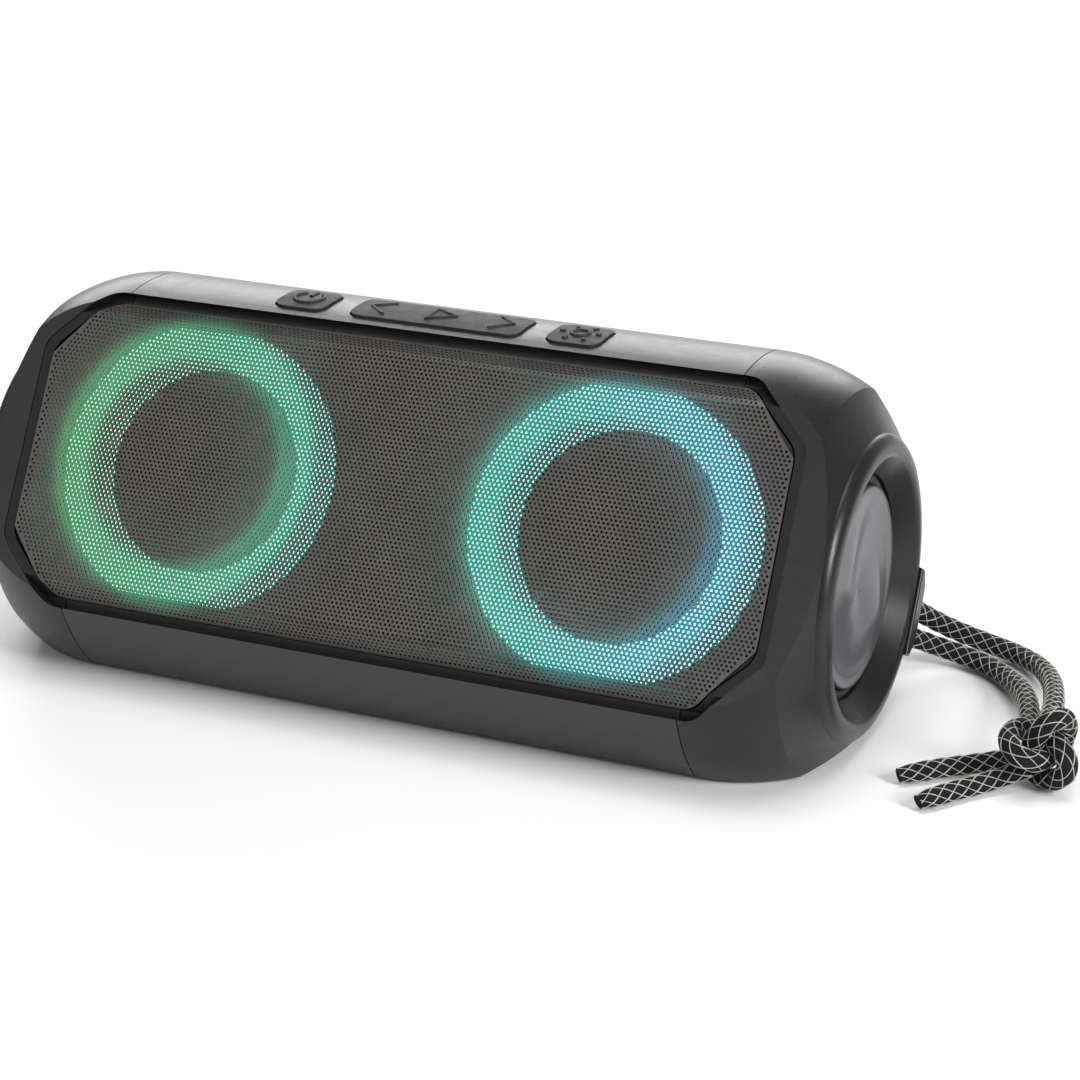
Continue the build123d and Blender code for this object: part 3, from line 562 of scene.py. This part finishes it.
def clip(polygon, edge_from, edge_to):
    """The part of a polygon to the left of a line."""
    side = [(edge_to - edge_from).cross(point - edge_from) for point in polygon]
    kept = []
    for i, point in enumerate(polygon):
        j = (i + 1) % len(polygon)
        if side[i] >= 0:
            kept.append(point)
        if (side[i] >= 0) != (side[j] >= 0):
            kept.append(point.lerp(polygon[j], side[i] / (side[i] - side[j])))
    return kept


def make_grille():
    outline = [Vector((point.x, unroll(point.y))) for point in grille_outline()]
    edges = list(zip(outline, outline[1:] + outline[:1]))
    normals = [Vector((a.y - b.y, b.x - a.x)).normalized() for a, b in edges]
    row_gap = hole_pitch * sqrt(3) / 2
    rows = int(max(point.y for point in outline) / row_gap) + 2
    columns = int(grille_w / hole_pitch) + 2
    sixths = [radians(60 * k + 30) for k in range(6)]
    cell = [Vector((cos(angle), sin(angle))) * (hole_pitch / sqrt(3)) for angle in sixths]
    hole = [Vector((cos(angle), sin(angle))) * hole_r for angle in sixths]
    points, faces, known = [], [], {}

    def vertex(flat, depth=0.0):
        key = (round(flat.x / (0.01 * MM)), round(flat.y / (0.01 * MM)), depth > 0)
        if key not in known:
            known[key] = len(points)
            points.append(tuple(grille_point(flat.x, flat.y, depth)))
        return known[key]

    for row in range(-rows, rows + 1):
        for column in range(-columns, columns + 1):
            centre = Vector(((column + 0.5 * (row % 2)) * hole_pitch, row * row_gap))
            inside = min((centre - a).dot(n) for (a, _), n in zip(edges, normals))
            if inside < -hole_pitch:
                continue
            corners = [centre + corner for corner in cell]
            if inside < 0.6 * hole_pitch:
                for a, b in edges:
                    corners = clip(corners, a, b) if len(corners) > 2 else corners
                loop = list(dict.fromkeys(vertex(corner) for corner in corners))
                if len(loop) > 2:
                    faces.append(loop)
                continue
            rim = [vertex(centre + point) for point in hole]
            deep = [vertex(centre + point, grille_t) for point in hole]
            for k in range(6):
                m = (k + 1) % 6
                faces.append((vertex(corners[k]), vertex(corners[m]), rim[m], rim[k]))
                faces.append((rim[k], rim[m], deep[m], deep[k]))
    mesh = bpy.data.meshes.new("perforated_grille")
    mesh.from_pydata(points, [], faces)
    mesh.materials.append(grille_metal)
    mesh.update()
    piece = link("perforated_grille", mesh)
    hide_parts("grille")


make_grille()


# ---------------------------------------------------------------- radiator discs
disc_r, disc_face, disc_back = 26.7 * MM, 119.5 * MM, 116.5 * MM


def disc_height(radius, angle):
    """How far the disc's face stands out: a raised rim, a dished middle and two broad swept blades."""
    share = radius / disc_r
    swept = 0.5 + 0.5 * cos(2 * angle + 2.6 * share)
    blade = swept**1.5 * (1 - share**3) * min(1, 1.8 * share)
    rim = max(0, 1 - abs(share - 0.93) / 0.07)
    return (-1.5 + 2.4 * blade + 1.1 * share**2 + 0.4 * rim * (1 - 0.5 * rim)) * MM


def make_disc(side, name):
    shape = Shape()
    rings, spokes = 40, 120
    turns = [tau * k / spokes for k in range(spokes)]
    rows = []
    for j in range(1, rings + 1):
        radius = disc_r * j / rings
        rows.append([
            Vector((
                side * (disc_face + disc_height(radius, turn)), radius * cos(turn), axis_z + radius * sin(turn)
            ))
            for turn in turns
        ])
    edge = [Vector((side * (disc_face - 1.0 * MM), point.y, point.z)) for point in rows[-1]]
    low = [Vector((side * disc_back, point.y, point.z)) for point in rows[-1]]
    shape.grid([*rows, edge, low], ring=True)
    shape.fan(rows[0], Vector((side * (disc_face + disc_height(0, 0)), 0, axis_z)))
    shape.fan(low, Vector((side * disc_back, 0, axis_z)))
    piece = shape.object(f"swirled_disc_{name}", [disc_grey], f"radiator_{name}", "disc_plastic")
    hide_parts(f"radiator_disc_{name}")


make_disc(-1, "left")
make_disc(1, "right")

# ---------------------------------------------------------------- key symbols
key_top_r = corner_r + 0.6 * MM
key_x, key_y = 40.2 * MM, 0.1 * MM
symbol_depth = 0.55 * MM


def symbol(name, body, centre_x, strokes):
    """Raised lines on a key's top. Each stroke is a list of points in millimetres from the key's middle."""
    curve = bpy.data.curves.new(name, "CURVE")
    curve.dimensions = "3D"
    curve.bevel_depth, curve.bevel_resolution, curve.use_fill_caps = symbol_depth, 3, True
    for closed, stroke in strokes:
        spline = curve.splines.new("POLY")
        spline.points.add(len(stroke) - 1)
        for control, (u, v) in zip(spline.points, stroke):
            y = key_y + v * MM
            control.co = (centre_x + u * MM, y, axis_z + sqrt(key_top_r**2 - y**2), 1)
        spline.use_cyclic_u = closed
    curve.materials.append(key_rubber)
    link(name, curve, body)


def arc(radius, start, end, steps=20, cx=0.0, cy=0.0):
    angles = [radians(start + (end - start) * k / steps) for k in range(steps + 1)]
    return [(cx + radius * cos(a), cy + radius * sin(a)) for a in angles]


symbol("power_mark", "power_button", -key_x, [(False, arc(4.1, 125, 415)), (False, [(0, 0.9), (0, 5.0)])])
symbol("previous_mark", "track_strip", -18 * MM, [(False, [(2.4, 4.8), (-3.0, 0), (2.4, -4.8)])])
symbol("play_mark", "track_strip", 0, [(True, [(-3.0, 4.2), (4.2, 0), (-3.0, -4.2)])])
symbol("next_mark", "track_strip", 18 * MM, [(False, [(-2.4, 4.8), (3.0, 0), (-2.4, -4.8)])])
ray_from, ray_to = arc(4.4, 0, 300, 5), arc(5.8, 0, 300, 5)
rays = [(False, [inner, outer]) for inner, outer in zip(ray_from, ray_to)]
symbol("light_mark", "light_button", key_x, [(True, arc(2.4, 0, 342, 18)), *rays])

# ---------------------------------------------------------------- CAD pieces: materials
finishes = {
    "body_plastic": body_black,
    "grille_metal": grille_metal,
    "button_rubber": key_rubber,
    "soft_rubber": soft_rubber,
    "inner_plastic": inner_black,
    "light_left": glow_left,
    "light_right": glow_right,
    "disc_plastic": disc_grey,
    "steel": steel,
    "cone_plastic": cone_black,
    "circuit_board": board_green,
    "component_black": part_black,
    "lamp_white": lamp_white,
    "cell_sleeve": cell_blue,
    "ribbon_white": ribbon_white,
    "rope": rope_black,
}
slot_of = {entry["node"]: entry["material_slot"] for entry in frame["record"]["subparts"]}


def finish_node(node, obj):
    material = panel_black if node in ("top_panel", "chin_panel") else finishes[slot_of[node]]
    for holder in obj.material_slots:
        holder.material = material


for node, obj in frame["nodes"].items():
    finish_node(node, obj)


# ---------------------------------------------------------------- floor and light
def make_floor():
    """A pale sweep: flat under the speaker, then curving up behind it."""
    width, front, back, rise = 4.0, -2.4, 1.4, 0.8
    profile = [(front, 0.0), (back, 0.0)]
    profile += [(back + rise * sin(radians(a)), rise * (1 - cos(radians(a)))) for a in range(10, 91, 10)]
    profile.append((back + rise, 3.0))
    shape = Shape()
    shape.grid([[Vector((-width, y, z)), Vector((width, y, z))] for y, z in profile])
    nodes = Nodes("floor_white")
    tone = nodes.ramp(nodes.noise(3, 3), [(0.3, (0.80, 0.80, 0.80)), (0.7, (0.83, 0.83, 0.83))])
    nodes.wire(tone, nodes.shader.inputs["Base Color"])
    nodes.shader.inputs["Roughness"].default_value = 0.6
    shape.object("floor", [nodes.material], body=None)


def area_light(name, at, aim, size, power):
    lamp = bpy.data.lights.new(name, "AREA")
    lamp.shape, lamp.size, lamp.size_y = "RECTANGLE", size[0], size[1]
    lamp.energy = power
    obj = link(name, lamp, body=None)
    obj.location = at
    obj.rotation_euler = (Vector(aim) - Vector(at)).to_track_quat("-Z", "Y").to_euler()


make_floor()
world = bpy.data.worlds.new("studio")
world.use_nodes = True
sky = world.node_tree.nodes["Background"].inputs
sky["Color"].default_value, sky["Strength"].default_value = (1, 1, 1, 1), 0.24
bpy.context.scene.world = world
area_light("back_light", (-0.55, 1.25, 0.62), (0, 0, 0.08), (1.6, 0.7), 14)
area_light("top_light", (0.1, -0.1, 1.5), (0, 0, 0.05), (1.2, 0.9), 14)
area_light("side_light", (1.10, -0.40, 0.62), (0.11, 0, 0.06), (0.3, 0.5), 14)
area_light("front_light", (-0.7, -1.5, 0.9), (0, 0, 0.05), (1.0, 0.8), 5)
bpy.context.scene.view_settings.view_transform = "Standard"
